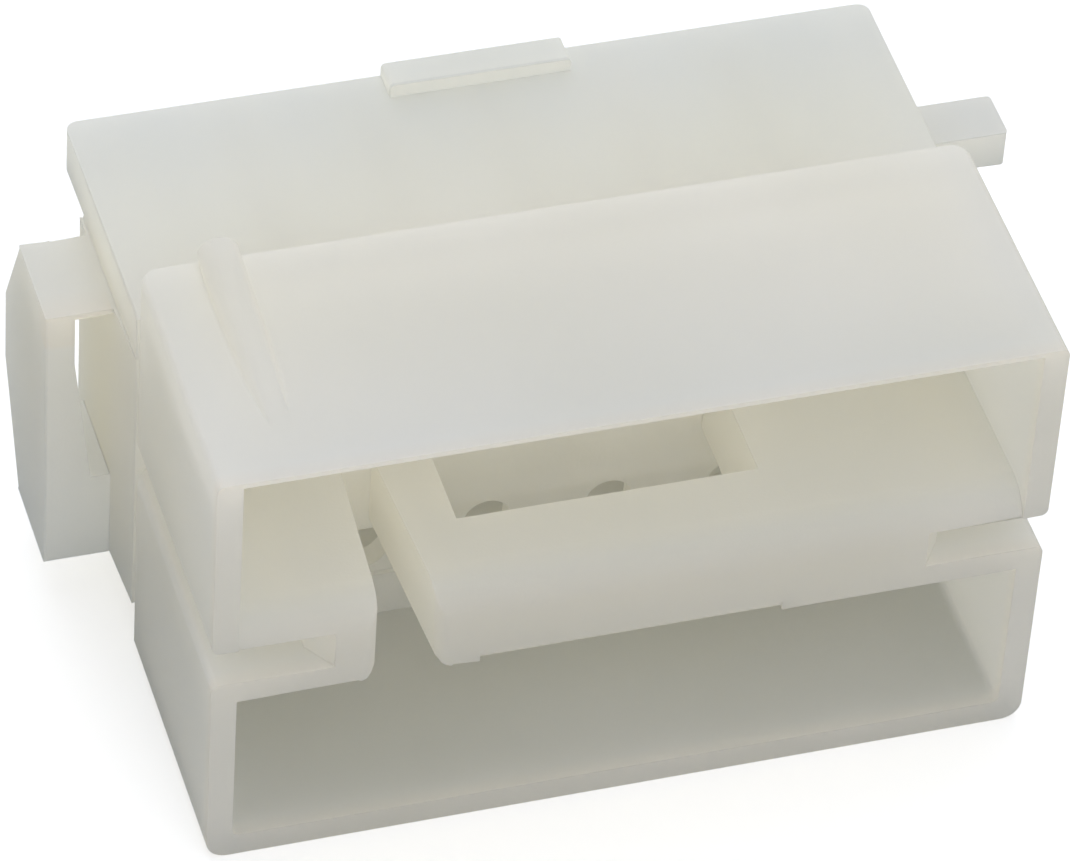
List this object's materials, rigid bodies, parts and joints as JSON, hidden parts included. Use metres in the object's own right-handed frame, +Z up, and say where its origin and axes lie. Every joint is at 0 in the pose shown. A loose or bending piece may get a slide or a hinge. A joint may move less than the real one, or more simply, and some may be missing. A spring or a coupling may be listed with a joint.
{
  "type": "wire to board connector housing",
  "caption": "Moulded connector housing with a plug tube and a latch tube at the mouth, a terminal row behind them, and ears that snap into a panel.",
  "frame": {"origin": "middle of the shroud's flat underside, half way between the mating face and the shroud's back", "axes": "+X along the terminal row towards the plain ear, mating face towards -Y, +Z up from the underside"},
  "size_m": [0.0396, 0.0237, 0.0208],
  "materials": {
    "natural_nylon": "natural, slightly translucent, satin moulded surface"
  },
  "bodies": {
    "root": {"housing": "natural_nylon"}
  },
  "joints": []
}
